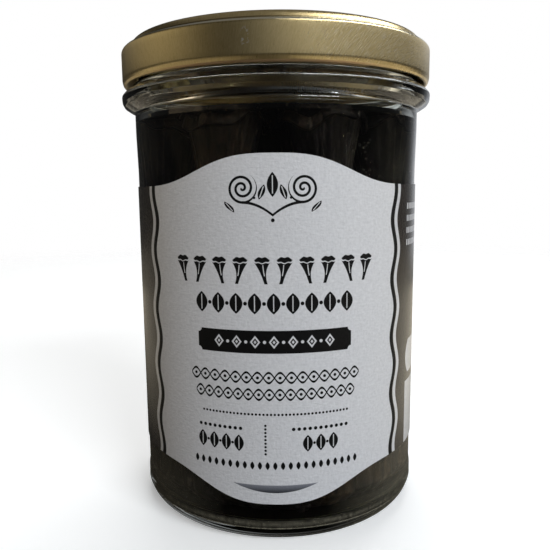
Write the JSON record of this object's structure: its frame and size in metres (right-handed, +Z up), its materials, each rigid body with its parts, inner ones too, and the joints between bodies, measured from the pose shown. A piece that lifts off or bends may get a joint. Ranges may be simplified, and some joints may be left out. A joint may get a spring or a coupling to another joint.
{
  "type": "jar of preserved black trumpet mushrooms",
  "caption": "Straight-sided glass preserve jar with a twist-off lugged metal lid, a wrap-around paper label and whole black trumpet mushrooms packed in dark brine.",
  "frame": {"origin": "centre of the ring that the jar stands on, on the resting plane", "axes": "+Z up along the jar's axis, -Y out of the front of the label, +X to the right seen from the front"},
  "size_m": [0.0662, 0.0662, 0.0983],
  "materials": {
    "clear_glass": "clear, faintly green flint glass, moulded",
    "gold_tinplate": "gold lacquer over brushed tinplate, satin",
    "sealing_compound": "soft matt flowed-in ring",
    "label_paper": "satin coated paper, black side fields and a pale grey front panel",
    "dark_brine": "dark brown clear liquid",
    "black_flesh": "wet, wrinkled, near black outside with greyer folds"
  },
  "bodies": {
    "jar": {"glass_jar": "clear_glass", "label": "label_paper", "brine": "dark_brine", "mushroom_01": "black_flesh", "mushroom_02": "black_flesh", "mushroom_03": "black_flesh", "mushroom_04": "black_flesh", "mushroom_05": "black_flesh", "mushroom_06": "black_flesh", "mushroom_07": "black_flesh", "mushroom_08": "black_flesh", "mushroom_09": "black_flesh", "mushroom_10": "black_flesh", "mushroom_11": "black_flesh", "mushroom_12": "black_flesh", "mushroom_13": "black_flesh", "mushroom_14": "black_flesh", "mushroom_15": "black_flesh", "mushroom_16": "black_flesh"},
    "seal": {"lid_gasket": "sealing_compound"},
    "lid": {"lid": "gold_tinplate"}
  },
  "joints": [
    {"name": "lid_rise", "type": "slide", "parent": "jar", "child": "seal", "axis": [0, 0, 1], "range_m": [0, 0.0017]},
    {"name": "lid_twist", "type": "hinge", "parent": "seal", "child": "lid", "pos_m": [0, 0, 0.0927], "axis": [0, 0, 1], "range_deg": [0, 68]}
  ],
  "couplings": [
    {"joint": "lid_rise", "follows": "lid_twist", "m_per_rad": 0.0014324}
  ]
}
